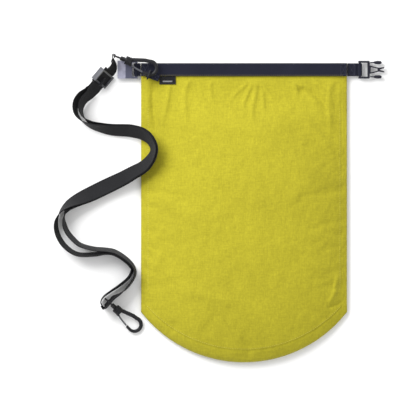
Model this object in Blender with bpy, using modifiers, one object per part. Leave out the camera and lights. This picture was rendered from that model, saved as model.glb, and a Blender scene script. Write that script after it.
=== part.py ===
"""Roll-top dry bag with a detachable shoulder strap, lying on its back panel.

+X is across the bag, +Y towards the mouth and +Z up, away from the back panel.  The origin is on
the back panel, in the middle of the bag's outline.  Every size is in metres.
"""
import math

import bmesh
import bpy
from mathutils import Matrix, Vector

# ---- driving dimensions ---------------------------------------------------------------------
GAP = 0.0003                # clearance between pieces that touch
FABRIC = 0.0008             # coated cloth
WEBBING = 0.0014            # thickness of every webbing

HALF_WIDTH = 0.157          # flat bag
TOP_Y = 0.228               # mouth
BOTTOM_Y = -0.228           # lowest point of the round base end
BASE_RADIUS = 0.1986        # the outline's round end
PUFF = 0.034                # height of the front panel over its own edge
EDGE_Z = 0.0052             # side seams

BAND_HEIGHT = 0.020         # closure webbing
MOUTH_SLIT = 0.0050         # the open mouth
STIFFENER = 0.0008
LABEL = (0.025, 0.0125)     # width and drop


PANEL_TOP_Y = 0.1925        # cloth below this belongs to the bag, above it to the mouth

STRAP_WIDTH = 0.025
TAB_WIDTH = 0.0195
BUCKLE_WIDTH = 0.027
BUCKLE_THICK = 0.0075

# ---- scene, materials and small helpers --------------------------------------------------------
for old in list(bpy.data.objects):
    bpy.data.objects.remove(old, do_unlink=True)

PARTS = bpy.data.collections.new("dry_bag")
CUTTERS = bpy.data.collections.new("cutters")
bpy.context.scene.collection.children.link(PARTS)
bpy.context.scene.collection.children.link(CUTTERS)

FINISHES = {                # colour, roughness
    "yellow_cloth": ((0.62, 0.54, 0.06), 0.80),
    "navy_webbing": ((0.022, 0.024, 0.040), 0.75),
    "black_webbing": ((0.020, 0.020, 0.022), 0.80),
    "black_plastic": ((0.030, 0.030, 0.033), 0.45),
    "grey_plastic": ((0.130, 0.135, 0.150), 0.40),
    "stiffener": ((0.35, 0.35, 0.36), 0.50),
    "label_black": ((0.012, 0.012, 0.013), 0.85),
}


def give_material(obj, finish):
    """Give obj its own Principled material."""
    colour, roughness = FINISHES[finish]
    material = bpy.data.materials.new(obj.name)
    material.use_nodes = True
    shader = material.node_tree.nodes["Principled BSDF"]
    shader.inputs["Base Color"].default_value = (*colour, 1.0)
    shader.inputs["Roughness"].default_value = roughness
    shader.inputs["Metallic"].default_value = 0.0
    obj.data.materials.clear()
    obj.data.materials.append(material)


def add_object(name, data, finish=None, matrix=None, collection=PARTS):
    """Link a new object, as a part unless another collection is given."""
    obj = bpy.data.objects.new(name, data)
    collection.objects.link(obj)
    if matrix is not None:
        obj.matrix_world = matrix
    if finish:
        give_material(obj, finish)
    return obj


def mesh_from(bm, name, smooth=True):
    """Turn a bmesh into mesh data with outward faces."""
    bmesh.ops.recalc_face_normals(bm, faces=bm.faces)
    mesh = bpy.data.meshes.new(name)
    bm.to_mesh(mesh)
    bm.free()
    if smooth:
        mesh.shade_smooth()
        mesh.set_sharp_from_angle(angle=math.radians(40))
    return mesh


def add_bevel(obj, width, segments=2):
    """Round an object's edges."""
    bevel = obj.modifiers.new("bevel", "BEVEL")
    bevel.width = width
    bevel.segments = segments
    bevel.limit_method = "ANGLE"
    bevel.angle_limit = math.radians(40)
    return bevel


def add_box(name, low, high, finish=None, bevel=0.0, matrix=None, collection=PARTS):
    """An axis-aligned box between two corners of the frame that matrix gives."""
    low, high = Vector(low), Vector(high)
    bm = bmesh.new()
    bmesh.ops.create_cube(bm, size=1.0)
    size = high - low
    bmesh.ops.scale(bm, vec=size, verts=bm.verts)
    bmesh.ops.translate(bm, vec=(low + high) / 2, verts=bm.verts)
    obj = add_object(name, mesh_from(bm, name, smooth=False), finish, matrix, collection)
    if bevel:
        add_bevel(obj, bevel)
    return obj


def add_cylinder(name, start, end, radius, finish=None, sides=20, matrix=None, collection=PARTS):
    """A round rod between two points of the frame that matrix gives."""
    start, end = Vector(start), Vector(end)
    bm = bmesh.new()
    bmesh.ops.create_cone(bm, cap_ends=True, segments=sides, radius1=radius, radius2=radius,
                          depth=(end - start).length)
    turn = (end - start).to_track_quat("Z", "Y").to_matrix().to_4x4()
    bmesh.ops.transform(bm, matrix=Matrix.Translation((start + end) / 2) @ turn, verts=bm.verts)
    return add_object(name, mesh_from(bm, name), finish, matrix, collection)


def add_outline(name, loops, low_z, high_z, finish=None, matrix=None, collection=PARTS, bevel=0.0):
    """A flat plate with the first loop as its edge and the others as holes."""
    curve = bpy.data.curves.new(name, "CURVE")
    curve.dimensions = "2D"
    curve.fill_mode = "BOTH"
    curve.extrude = (high_z - low_z) / 2 - bevel
    curve.bevel_depth = bevel
    curve.bevel_resolution = 1
    curve.offset = -bevel
    for loop in loops:
        spline = curve.splines.new("POLY")
        spline.points.add(len(loop) - 1)
        for point, (x, y) in zip(spline.points, loop):
            point.co = (x, y, 0.0, 1.0)
        spline.use_cyclic_u = True
    place = Matrix.Translation((0, 0, (low_z + high_z) / 2))
    return add_object(name, curve, finish, (matrix or Matrix()) @ place, collection)


def add_rod(name, points, radius, finish=None, matrix=None, closed=False, collection=PARTS,
            sides=2):
    """A round rod or ring along a line of points."""
    curve = bpy.data.curves.new(name, "CURVE")
    curve.dimensions = "3D"
    curve.bevel_depth = radius
    curve.bevel_resolution = sides
    curve.use_fill_caps = not closed
    spline = curve.splines.new("POLY")
    spline.points.add(len(points) - 1)
    for point, place in zip(spline.points, points):
        point.co = (*place, 1.0)
    spline.use_cyclic_u = closed
    return add_object(name, curve, finish, matrix, collection)


def as_mesh(obj):
    """Replace a curve, or an object with modifiers, by the mesh that it shows."""
    bpy.context.view_layer.update()
    shown = obj.evaluated_get(bpy.context.evaluated_depsgraph_get())
    mesh = bpy.data.meshes.new_from_object(shown)
    bm = bmesh.new()
    bm.from_mesh(mesh)
    bmesh.ops.remove_doubles(bm, verts=bm.verts, dist=0.00001)
    bmesh.ops.recalc_face_normals(bm, faces=bm.faces)
    bm.to_mesh(mesh)
    bm.free()
    name, place, owner = obj.name, obj.matrix_world.copy(), obj.users_collection[0]
    bpy.data.objects.remove(obj, do_unlink=True)
    return add_object(name, mesh, None, place, owner)


def join_all(name, pieces, finish, cuts=()):
    """One solid from overlapping pieces, with cuts taken out of it."""
    meshes = [as_mesh(piece) for piece in pieces]
    body = meshes[0]
    body.name = name
    for other, operation in [(m, "UNION") for m in meshes[1:]] + [(c, "DIFFERENCE") for c in cuts]:
        if operation == "DIFFERENCE":
            other = as_mesh(other)
        boolean = body.modifiers.new(operation.lower(), "BOOLEAN")
        boolean.operation = operation
        boolean.solver = "EXACT"
        boolean.object = other
        for owner in list(other.users_collection):
            owner.objects.unlink(other)
        CUTTERS.objects.link(other)
        other.hide_render = True
        other.display_type = "WIRE"
    body = as_mesh(body)
    bm = bmesh.new()
    bm.from_mesh(body.data)
    bmesh.ops.triangulate(bm, faces=[face for face in bm.faces if len(face.verts) > 4])
    bm.to_mesh(body.data)
    bm.free()
    body.data.shade_smooth()
    body.data.set_sharp_from_angle(angle=math.radians(40))
    give_material(body, finish)
    return body


def arc(centre, radius, start_deg, end_deg, steps):
    """Points along an arc of a circle in the XY plane, both ends included."""
    points = []
    for i in range(steps + 1):
        angle = math.radians(start_deg + (end_deg - start_deg) * i / steps)
        points.append((centre[0] + radius * math.cos(angle), centre[1] + radius * math.sin(angle)))
    return points


def rounded_rectangle(low, high, radius, steps=4):
    """A rectangle with round corners, anticlockwise."""
    corners = [((high[0] - radius, high[1] - radius), 0), ((low[0] + radius, high[1] - radius), 90),
               ((low[0] + radius, low[1] + radius), 180), ((high[0] - radius, low[1] + radius), 270)]
    points = []
    for centre, start in corners:
        points += arc(centre, radius, start, start + 90, steps)
    return points


def frame_matrix(origin, x_axis, z_axis):
    """A placement from an origin, its X direction and a direction near its Z."""
    x_axis = Vector(x_axis).normalized()
    y_axis = Vector(z_axis).cross(x_axis).normalized()
    z_axis = x_axis.cross(y_axis)
    turn = Matrix((x_axis, y_axis, z_axis)).transposed().to_4x4()
    return Matrix.Translation(Vector(origin)) @ turn


def webbing_loop(name, matrix, bar_radius, tail, tail_low, tail_high, width, finish):
    """Webbing folded round a bar along local Z, its sewn tail running out along local X."""
    hole = bar_radius + GAP
    outer = hole + WEBBING
    start = math.degrees(math.asin(tail_high / outer))
    end = 360 + math.degrees(math.asin(tail_low / outer))
    edge = [(tail, tail_low), (tail, tail_high)] + arc((0, 0), outer, start, end, 20)
    rim = arc((0, 0), hole, 0, 342, 19)
    return add_outline(name, [edge, rim], -width / 2, width / 2, finish, matrix)


# ---- the cloth ---------------------------------------------------------------------------------
ARC_CENTRE_Y = BOTTOM_Y + BASE_RADIUS
SHEET_HALF = HALF_WIDTH - FABRIC        # the cloth is thickened outwards
FRONT_SEAM, BACK_SEAM = 0.018, 0.050    # how far the base panel reaches up each side


def base_edge_y(x):
    """The lower edge of the flat bag at x."""
    return ARC_CENTRE_Y - math.sqrt(BASE_RADIUS ** 2 - x ** 2)


def smooth(t):
    """A smooth step from 0 to 1."""
    t = min(max(t, 0.0), 1.0)
    return t * t * (3 - 2 * t)


def front_z(x, y):
    """Inner surface of the cloth on the upper side."""
    u = min(abs(x) / SHEET_HALF, 1.0)
    crown = (1 - u ** 2.4) ** 0.6
    flat = math.sqrt(1 - u ** 14)
    rise = math.sqrt(1 - (1 - min((y - base_edge_y(x)) / 0.11, 1.0)) ** 2)
    fill = smooth((PANEL_TOP_Y - y) / 0.16)
    return EDGE_Z + GAP / 2 + 0.0038 * (1 - fill) * flat + PUFF * fill * crown * rise


def back_z(x, y):
    """Inner surface of the cloth on the side that lies down."""
    u = min(abs(x) / SHEET_HALF, 1.0)
    flat = math.sqrt(1 - u ** 14)
    rise = math.sqrt(1 - (1 - min((y - base_edge_y(x)) / 0.02, 1.0)) ** 2)
    return FABRIC + (EDGE_Z - GAP / 2 - FABRIC) * (1 - flat * rise)


def add_cloth(name, columns, rows, shape, outward):
    """A sheet of cloth: a grid moved by shape(u, v), thickened to its outer side."""
    bm = bmesh.new()
    bmesh.ops.create_grid(bm, x_segments=columns, y_segments=rows, size=1.0)
    for vert in bm.verts:
        vert.co = shape(vert.co.x, vert.co.y)
    bm.normal_update()
    middle = min(bm.faces, key=lambda face: (face.calc_center_median() - outward[0]).length)
    if middle.normal.dot(outward[1]) < 0:
        bmesh.ops.reverse_faces(bm, faces=bm.faces)
    mesh = bpy.data.meshes.new(name)
    bm.to_mesh(mesh)
    bm.free()
    mesh.shade_smooth()
    obj = add_object(name, mesh, "yellow_cloth")
    shell = obj.modifiers.new("cloth", "SOLIDIFY")
    shell.thickness = FABRIC
    shell.offset = 1.0
    return obj


def ease(u):
    """Columns that crowd towards the side edges."""
    return math.sin(u * math.pi / 2)


def front_shape(u, v):
    x = ease(u) * SHEET_HALF
    low = base_edge_y(x) + FRONT_SEAM + GAP
    y = low + (PANEL_TOP_Y - low) * (v + 1) / 2
    return Vector((x, y, front_z(x, y)))


def back_shape(u, v):
    x = ease(u) * SHEET_HALF
    low = base_edge_y(x) + BACK_SEAM + GAP
    y = low + (PANEL_TOP_Y - low) * (v + 1) / 2
    return Vector((x, y, back_z(x, y)))


def base_shape(u, v):
    """Round the lower edge: v is 1 at the front seam and -1 at the back seam."""
    x = ease(u) * SHEET_HALF * 0.985
    reach = (FRONT_SEAM if v > 0 else BACK_SEAM) * abs(v) ** 2
    y = base_edge_y(x) + FABRIC + reach * (1 - FABRIC / FRONT_SEAM)
    return Vector((x, y, front_z(x, y) if v > 0 else back_z(x, y)))


UP, DOWN = Vector((0, 0, 1)), Vector((0, 0, -1))
add_cloth("front_panel", 28, 20, front_shape, (Vector((0, 0, 0.04)), UP))
add_cloth("back_panel", 24, 6, back_shape, (Vector((0, 0, 0)), DOWN))
add_cloth("base_panel", 24, 14, base_shape, (Vector((0, BOTTOM_Y, EDGE_Z)), Vector((0, -1, 0))))

# ---- the mouth: collar, stiffeners and closure webbing, from the lying side upwards -------------
BAND_LOW = TOP_Y - BAND_HEIGHT
BACK_WEBBING_Z = 0.0003
BACK_STRIP_Z = BACK_WEBBING_Z + WEBBING + GAP
COLLAR_LOW = BACK_STRIP_Z + STIFFENER + GAP
COLLAR_HIGH = COLLAR_LOW + 2 * FABRIC + MOUTH_SLIT
FRONT_STRIP_Z = COLLAR_HIGH + GAP
FRONT_WEBBING_Z = FRONT_STRIP_Z + STIFFENER + GAP
BAND_TOP_Z = FRONT_WEBBING_Z + WEBBING
BAND_MID_Y = (TOP_Y + BAND_LOW) / 2
BAND_MID_Z = (COLLAR_LOW + COLLAR_HIGH) / 2

ALONG_Y = Matrix.Rotation(math.radians(90), 4, "X")     # local XY to XZ, local Z to -Y
collar_half = HALF_WIDTH - 0.0022
collar_edge = rounded_rectangle((-collar_half, COLLAR_LOW), (collar_half, COLLAR_HIGH), 0.0030)
collar_hole = rounded_rectangle((-collar_half + FABRIC, COLLAR_LOW + FABRIC),
                                (collar_half - FABRIC, COLLAR_HIGH - FABRIC), 0.0022)
add_outline("collar", [collar_edge, collar_hole], -TOP_Y + 0.0004, -PANEL_TOP_Y - 0.0012,
            "yellow_cloth", ALONG_Y)

for side, strip_z, webbing_z in (("back", BACK_STRIP_Z, BACK_WEBBING_Z),
                                 ("front", FRONT_STRIP_Z, FRONT_WEBBING_Z)):
    add_box("mouth_stiffener_" + side, (-0.147, BAND_LOW + 0.002, strip_z),
            (0.147, TOP_Y - 0.002, strip_z + STIFFENER), "stiffener", bevel=0.0003)
    add_box("closure_webbing_" + side, (-HALF_WIDTH + 0.0004, BAND_LOW, webbing_z),
            (HALF_WIDTH - 0.0004, TOP_Y, webbing_z + WEBBING), "navy_webbing", bevel=0.0004)

LABEL_LEFT = -0.129
add_box("label", (LABEL_LEFT, BAND_LOW - LABEL[1], COLLAR_HIGH + GAP),
        (LABEL_LEFT + LABEL[0], BAND_LOW - GAP, COLLAR_HIGH + GAP + 0.0012), "label_black",
        bevel=0.0003)

# ---- side-release buckle -----------------------------------------------------------------------
BAR_RADIUS = 0.0016
RAIL = 0.0030                           # side rails beside each webbing slot
MALE_BAR_X = 0.1765
FEMALE_BAR_X = -0.1642
TAB_START = HALF_WIDTH + GAP            # both tabs start at the band's ends
TAB_HALF_THICK = WEBBING + GAP / 2

MALE = Matrix.Translation((MALE_BAR_X, BAND_MID_Y, BAND_MID_Z))
FEMALE = Matrix.Translation((FEMALE_BAR_X, BAND_MID_Y, BAND_MID_Z)) @ Matrix.Rotation(
    math.pi, 4, "Z")
half = BUCKLE_WIDTH / 2
thick = BUCKLE_THICK / 2


def bar_end(name, matrix, length, deep):
    """Two rails, the webbing bar between them and the cross bar at the far side of the slot."""
    pieces = []
    for sign in (-1, 1):
        inner, outer = sign * (half - RAIL), sign * half
        pieces.append(add_box(name + "_rail", (-BAR_RADIUS - 0.0006, min(inner, outer), -deep),
                              (length, max(inner, outer), deep), matrix=matrix))
    pieces.append(add_cylinder(name + "_bar", (0, -half + 0.001, 0), (0, half - 0.001, 0),
                               BAR_RADIUS, matrix=matrix, sides=16))
    return pieces


ARM_ROOT_X, ARM_TIP_X = 0.0156, 0.0335
male_pieces = bar_end("male_buckle_body", MALE, 0.0145, 0.0026)
male_pieces.append(add_box("cross_bar", (0.0115, -half + 0.001, -0.0023),
                           (ARM_ROOT_X - GAP, half - 0.001, 0.0023), matrix=MALE))
guide_edge = [(0.0140, -0.0066), (0.0290, -0.0030), (0.0375, -0.0042), (0.0368, -0.0020),
              (0.0310, -0.0006), (0.0310, 0.0006), (0.0368, 0.0020), (0.0375, 0.0042),
              (0.0290, 0.0030), (0.0140, 0.0066)]
guide_hole = [(0.0168, -0.0040), (0.0270, -0.0016), (0.0270, 0.0016), (0.0168, 0.0040)]
male_pieces.append(add_outline("guide", [guide_edge, guide_hole], -0.0016, 0.0016, matrix=MALE))
join_all("male_buckle_body", male_pieces, "black_plastic")

for sign, side in ((1, "upper"), (-1, "lower")):
    arm = [(ARM_ROOT_X, 0.0096), (0.0215, 0.0100), (0.0232, 0.0086), (0.0300, 0.0082),
           (0.0328, 0.0092), (ARM_TIP_X, 0.0112), (0.0322, 0.0131), (0.0270, 0.0135),
           (0.0228, 0.0128), (0.0205, 0.0118), (ARM_ROOT_X, 0.0116)]
    arm = [(x, sign * y) for x, y in arm]
    add_outline("male_buckle_arm_" + side, [arm], -0.0021, 0.0021, "black_plastic", MALE)

FEMALE_LENGTH = 0.0285
female_pieces = bar_end("female_buckle_body", FEMALE, 0.0090, 0.0030)
female_pieces.append(add_box("housing", (0.0062, -half, -thick), (FEMALE_LENGTH, half, thick),
                             matrix=FEMALE))
female_cuts = [
    add_box("socket", (0.0095, -half + 0.0021, -0.0023), (FEMALE_LENGTH + 0.002, half - 0.0021,
                                                          0.0023), matrix=FEMALE,
            collection=CUTTERS),
    add_box("windows", (0.0125, -half - 0.001, -0.0023), (0.0225, half + 0.001, 0.0023),
            matrix=FEMALE, collection=CUTTERS)]
join_all("female_buckle_body", female_pieces, "grey_plastic", female_cuts)

for name, place, bar_x in (("buckle_tab_right", MALE, MALE_BAR_X),
                                 ("buckle_tab_left", FEMALE, FEMALE_BAR_X)):
    across = place @ Matrix.Rotation(math.pi, 4, "Z") @ ALONG_Y
    webbing_loop(name, across, BAR_RADIUS + 0.0002, abs(bar_x) - TAB_START, -TAB_HALF_THICK,
                 TAB_HALF_THICK, TAB_WIDTH, "navy_webbing")

# ---- swivel snap hooks -------------------------------------------------------------------------
# Local frame of a hook: the swivel axis is X, pointing to the bow, Z is up through the flat hook
# and the origin is the middle of the collar.
COLLAR_HALF_LENGTH, COLLAR_RADIUS = 0.0053, 0.0066
HOOK_ROD = 0.0021
BOW_CENTRE, BOW_RADIUS = (0.0340, 0.0010), 0.0102
EYE_BAR_X = -0.0240                     # webbing bar of the eye
EYE_HALF = STRAP_WIDTH / 2 + 0.0019
EYE_ROD = 0.0014
GATE_ROOT, GATE_TIP = (0.0064, -0.0050), (0.0232, -0.0076)


def hook_frame(origin, heading, dip):
    """A hook's placement: its swivel axis points along heading and dips below the horizontal."""
    heading, dip = math.radians(heading), math.radians(dip)
    axis = (math.cos(heading) * math.cos(dip), math.sin(heading) * math.cos(dip), -math.sin(dip))
    return frame_matrix(origin, axis, UP)


TOP_HOOK = hook_frame((-0.1758, 0.2312, 0.0228), -20.0, 0.0)
BOTTOM_HOOK_DIP = 12.0
BOTTOM_HOOK = hook_frame((-0.1920, -0.1487, 0.0131), -42.7, BOTTOM_HOOK_DIP)


def add_hook(name, matrix):
    """Hook body, gate and swivelling eye."""
    collar = add_cylinder(name + "_body", (-COLLAR_HALF_LENGTH, 0, 0), (COLLAR_HALF_LENGTH, 0, 0),
                          COLLAR_RADIUS, matrix=matrix, sides=24)
    spine = [(0.0030, 0.0030), (0.0075, 0.0046), (0.0160, 0.0073), (0.0235, 0.0097)]
    spine += arc(BOW_CENTRE, BOW_RADIUS, 112, -100, 14) + [(0.0290, -0.0090), (0.0272, -0.0087)]
    strand = add_rod("strand", [(x, y, 0) for x, y in spine], HOOK_ROD, matrix=matrix)
    hinge_lug = add_box("lug", (0.0040, -0.0062, -0.0020), (0.0057, -0.0035, 0.0020),
                        matrix=matrix)
    bore = add_cylinder("bore", (-0.0080, 0, 0), (0.0034, 0, 0), 0.0024, matrix=matrix,
                        collection=CUTTERS)
    join_all(name + "_body", [collar, strand, hinge_lug], "black_plastic", [bore])
    add_rod(name + "_gate", [(*GATE_ROOT, 0), (0.0130, -0.0068, 0), (*GATE_TIP, 0)], 0.0009,
            "black_plastic", matrix)

    loop = rounded_rectangle((EYE_BAR_X, -EYE_HALF), (-0.0125, EYE_HALF), 0.0017)
    upright = matrix @ Matrix.Rotation(math.radians(90), 4, "X")
    ring = add_rod(name + "_eye", [(x, y, 0) for x, y in loop], EYE_ROD, matrix=upright,
                   closed=True)
    neck = add_cylinder("neck", (-0.0132, 0, 0), (-COLLAR_HALF_LENGTH - GAP, 0, 0), 0.0034,
                        matrix=matrix)
    pin = add_cylinder("pin", (-0.0090, 0, 0), (0.0030, 0, 0), 0.0020, matrix=matrix)
    join_all(name + "_eye", [ring, neck, pin], "black_plastic")


add_hook("top_hook", TOP_HOOK)
add_hook("bottom_hook", BOTTOM_HOOK)

# ---- ring at the mouth's left end, through the bow of the top hook ------------------------------
RING_ROD = 0.0013
RING_BAR_Z = FRONT_WEBBING_Z + WEBBING + GAP + WEBBING + 0.0002 + RING_ROD + GAP
ring_place = TOP_HOOK @ Vector((0.0360, -0.0092, 0))
RING_TOP_Z = ring_place.z + HOOK_ROD + 0.0021 + RING_ROD
along_hook = (TOP_HOOK.to_3x3() @ Vector((1, 0, 0)) * Vector((1, 1, 0))).normalized()
across_hook = (TOP_HOOK.to_3x3() @ Vector((0, 1, 0))).normalized()
# local X along the ring's bar, local Y up, local Z along the hook
RING = frame_matrix((ring_place.x, ring_place.y, RING_BAR_Z), across_hook, along_hook)
RING_HALF = 0.0066
rise = RING_TOP_Z - RING_BAR_Z
ring_line = [(-RING_HALF, 0), (RING_HALF, 0), (RING_HALF, rise - 0.0035)]
ring_line += arc((RING_HALF - 0.0035, rise - 0.0035), 0.0035, 20, 90, 3)
ring_line += arc((-RING_HALF + 0.0035, rise - 0.0035), 0.0035, 90, 160, 3)
ring_line += [(-RING_HALF, rise - 0.0035)]
ring_side = 1 if (RING.to_3x3() @ Vector((0, 1, 0))).z > 0 else -1
add_rod("d_ring", [(x, ring_side * y, 0) for x, y in ring_line], RING_ROD, "black_plastic", RING,
        closed=True)

RING_TAB_WIDTH = 2 * (RING_HALF - RING_ROD) - 0.0008
ring_tab = frame_matrix(RING.translation, along_hook, -across_hook)
tab_up = 1 if (ring_tab.to_3x3() @ Vector((0, 1, 0))).z > 0 else -1
low, high = sorted((tab_up * -0.0031, tab_up * -0.0002))
webbing_loop("d_ring_tab", ring_tab, RING_ROD + 0.0001, 0.017, low, high, RING_TAB_WIDTH,
             "navy_webbing")

# ---- the shoulder strap ------------------------------------------------------------------------
# A doubled webbing: one layer runs from the top hook through the slider to the bottom hook's eye,
# and the other comes back from that eye to the slider's middle bar.  Each station gives the middle
# of the pair (X, Y), the surface it rests on, the distance between the layers (all in mm) and the
# lean of the webbing from standing on its edge in degrees, positive when its upper edge leans to
# the left of the way it runs.
STRAP_ROUTE = [
    (-236.5, 182.0, 0.6, 6.0, -33), (-246.2, 175.3, 0.3, 9.0, -27),
    (-251.8, 165.4, 0.3, 10.0, -22),
    (-251.8, 153.2, 0.3, 9.0, -13), (-244.6, 142.0, 0.3, 6.0, 0),
    (-232.7, 134.3, 0.3, 4.5, 14), (-215.3, 129.3, 0.3, 3.2, 28),
    (-199.0, 126.4, 0.3, 3.0, 36), (-179.5, 125.5, 3.0, 3.0, 40),
    (-166.6, 123.8, 7.0, 3.0, 40), (-154.4, 120.2, 11.0, 3.0, 36),
    (-144.0, 113.0, 15.0, 3.0, 27), (-137.3, 101.0, 17.5, 3.0, 20),
    (-138.1, 89.5, 18.0, 3.0, 21), (-144.3, 78.6, 15.0, 3.0, 30),
    (-153.9, 69.3, 10.5, 3.0, 38), (-169.2, 60.6, 5.5, 3.0, 46),
    (-186.1, 51.3, 1.5, 3.0, 54), (-208.0, 40.8, 0.3, 3.0, 60),
    (-231.6, 29.3, 0.3, 3.0, 58), (-253.7, 19.0, 0.3, 3.0, 42),
    (-268.5, 9.5, 0.3, 5.0, 22), (-276.5, -0.4, 0.3, 8.0, 4),
    (-280.0, -15.6, 0.3, 13.0, -12), (-276.6, -31.3, 0.3, 15.5, -16),
    (-266.0, -46.1, 0.3, 17.0, -16), (-251.2, -56.2, 0.3, 15.0, -14),
    (-229.4, -59.2, 0.3, 9.0, -14), (-211.1, -58.6, 0.3, 4.5, -14),
    (-196.6, -61.0, 0.3, 3.2, -14), (-180.1, -71.4, 0.3, 3.2, -12),
    (-170.1, -82.3, 0.3, 3.4, -9),
]
# Below the last shared station the layers part: (X, Y), resting height, lean.
OUTWARD_END = [(-165.5, -91.2, 0.3, -6), (-169.2, -102.3, 0.3, -5), (-178.6, -114.7, 0.8, -4),
               (-188.6, -123.0, 2.4, 4)]
RETURN_START = [(-170.7, -88.8, 0.3, -8), (-176.0, -99.1, 0.3, -8), (-188.7, -110.1, 0.3, -7),
                (-202.7, -119.6, 0.8, -5), (-213.5, -127.6, 1.2, -3), (-218.2, -136.0, 2.0, 0),
                (-215.0, -143.2, 3.0, 0)]
STRAP_STEP = 0.0075                     # distance between cross-sections
STRAP_HEAD_STEP = 0.0040                # closer ones where the webbing twists into the slider

# Local frame of the slider: X across the webbing, Y the way it runs, Z through it.
SLIDER_HEADING = math.radians(-130)
slider_run = Vector((math.cos(SLIDER_HEADING), math.sin(SLIDER_HEADING), 0))
SLIDER_LEAN = math.radians(-42)
SLIDER_CENTRE = Vector((-0.2142, 0.2050, 0.0155))


def webbing_axes(run, lean):
    """The width and face directions of webbing that runs along run and leans by lean."""
    left = UP.cross(run).normalized()
    return (math.cos(lean) * UP + math.sin(lean) * left,
            math.cos(lean) * left - math.sin(lean) * UP)


slider_width, slider_face = webbing_axes(slider_run, SLIDER_LEAN)
SLIDER = frame_matrix(SLIDER_CENTRE, slider_width, slider_face)
SLIDER_HALF = Vector((0.0150, 0.0110))
inside = STRAP_WIDTH / 2 + 0.0004
bars = []
for sign in (-1, 1):
    bars.append(add_box("slider", (min(sign * inside, sign * SLIDER_HALF.x), -SLIDER_HALF.y, -0.0061),
                        (max(sign * inside, sign * SLIDER_HALF.x), SLIDER_HALF.y, 0.0030),
                        matrix=SLIDER))
for sign in (-1, 1):
    end = sorted((sign * (SLIDER_HALF.y - 0.0030), sign * (SLIDER_HALF.y - 0.0002)))
    bars.append(add_box("end_bar", (-inside - 0.001, end[0], 0.0010),
                        (inside + 0.001, end[1], 0.0027), matrix=SLIDER))
MIDDLE_BAR_Z, MIDDLE_BAR = -0.0044, 0.0014
bars.append(add_cylinder("middle_bar", (-inside - 0.001, 0, MIDDLE_BAR_Z),
                         (inside + 0.001, 0, MIDDLE_BAR_Z), MIDDLE_BAR, matrix=SLIDER, sides=16))
join_all("slider", bars, "grey_plastic")

# the return layer's sewn end: folded round the middle bar, its tail under the running layer
wrap = frame_matrix(SLIDER @ Vector((0, 0, MIDDLE_BAR_Z)), SLIDER.to_3x3() @ Vector((0, 1, 0)),
                    SLIDER.to_3x3() @ Vector((1, 0, 0)))
wrap_up = 1 if (wrap.to_3x3() @ Vector((0, 1, 0))).dot(slider_face) > 0 else -1
low, high = sorted((wrap_up * 0.0014, wrap_up * 0.0028))
webbing_loop("slider_wrap", wrap, MIDDLE_BAR + 0.0001, 0.0145, low, high, STRAP_WIDTH,
             "black_webbing")


def catmull_rom(a, b, c, d, t):
    """The point at t between b and c on a smooth curve through four stations."""
    return 0.5 * (2 * b + (c - a) * t + (2 * a - 5 * b + 4 * c - d) * t ** 2
                  + (3 * b - a - 3 * c + d) * t ** 3)


def smooth_route(stations, step):
    """Stations at about every step along a smooth curve through the given ones."""
    stations = [Vector(s) for s in stations]
    padded = [2 * stations[0] - stations[1]] + stations + [2 * stations[-1] - stations[-2]]
    fine = []
    for i in range(len(stations) - 1):
        for k in range(20):
            fine.append(catmull_rom(*padded[i:i + 4], k / 20))
    fine.append(stations[-1])
    lengths = [0.0]
    for a, b in zip(fine, fine[1:]):
        lengths.append(lengths[-1] + (b.xyz - a.xyz).length)
    count = max(2, round(lengths[-1] / step))
    route, j = [], 0
    for k in range(count + 1):
        along = lengths[-1] * k / count
        while j < len(fine) - 2 and lengths[j + 1] < along:
            j += 1
        part = (along - lengths[j]) / max(lengths[j + 1] - lengths[j], 1e-9)
        route.append(fine[j].lerp(fine[j + 1], min(part, 1.0)))
    return route


def resting_height(rest, lean):
    """Height of the middle of webbing that leans with its lower edge on a surface at rest."""
    return rest + STRAP_WIDTH / 2 * math.cos(lean) + WEBBING / 2 * abs(math.sin(lean)) + 0.0004


def layer_stations(side):
    """X, Y, Z and lean of one layer; side is 1 for the outward layer and -1 for the return."""
    places = [Vector(s[:2]) / 1000 for s in STRAP_ROUTE]
    stations = []
    for i, (x, y, rest, apart, lean) in enumerate(STRAP_ROUTE):
        run = (places[min(i + 1, len(places) - 1)] - places[max(i - 1, 0)]).normalized()
        lean = math.radians(lean)
        face = webbing_axes(Vector((*run, 0)), lean)[1]
        shift = side * apart / 2000 * face
        # the layer that leans over the other one is lifted by it
        z = resting_height(rest / 1000, lean) + apart / 2000 * abs(face.z) + shift.z
        stations.append((x / 1000 + shift.x, y / 1000 + shift.y, z, lean))
    return stations


def end_stations(points):
    """X, Y, Z and lean for stations that belong to one layer only."""
    return [(x / 1000, y / 1000, resting_height(rest / 1000, math.radians(lean)),
             math.radians(lean)) for x, y, rest, lean in points]


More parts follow.
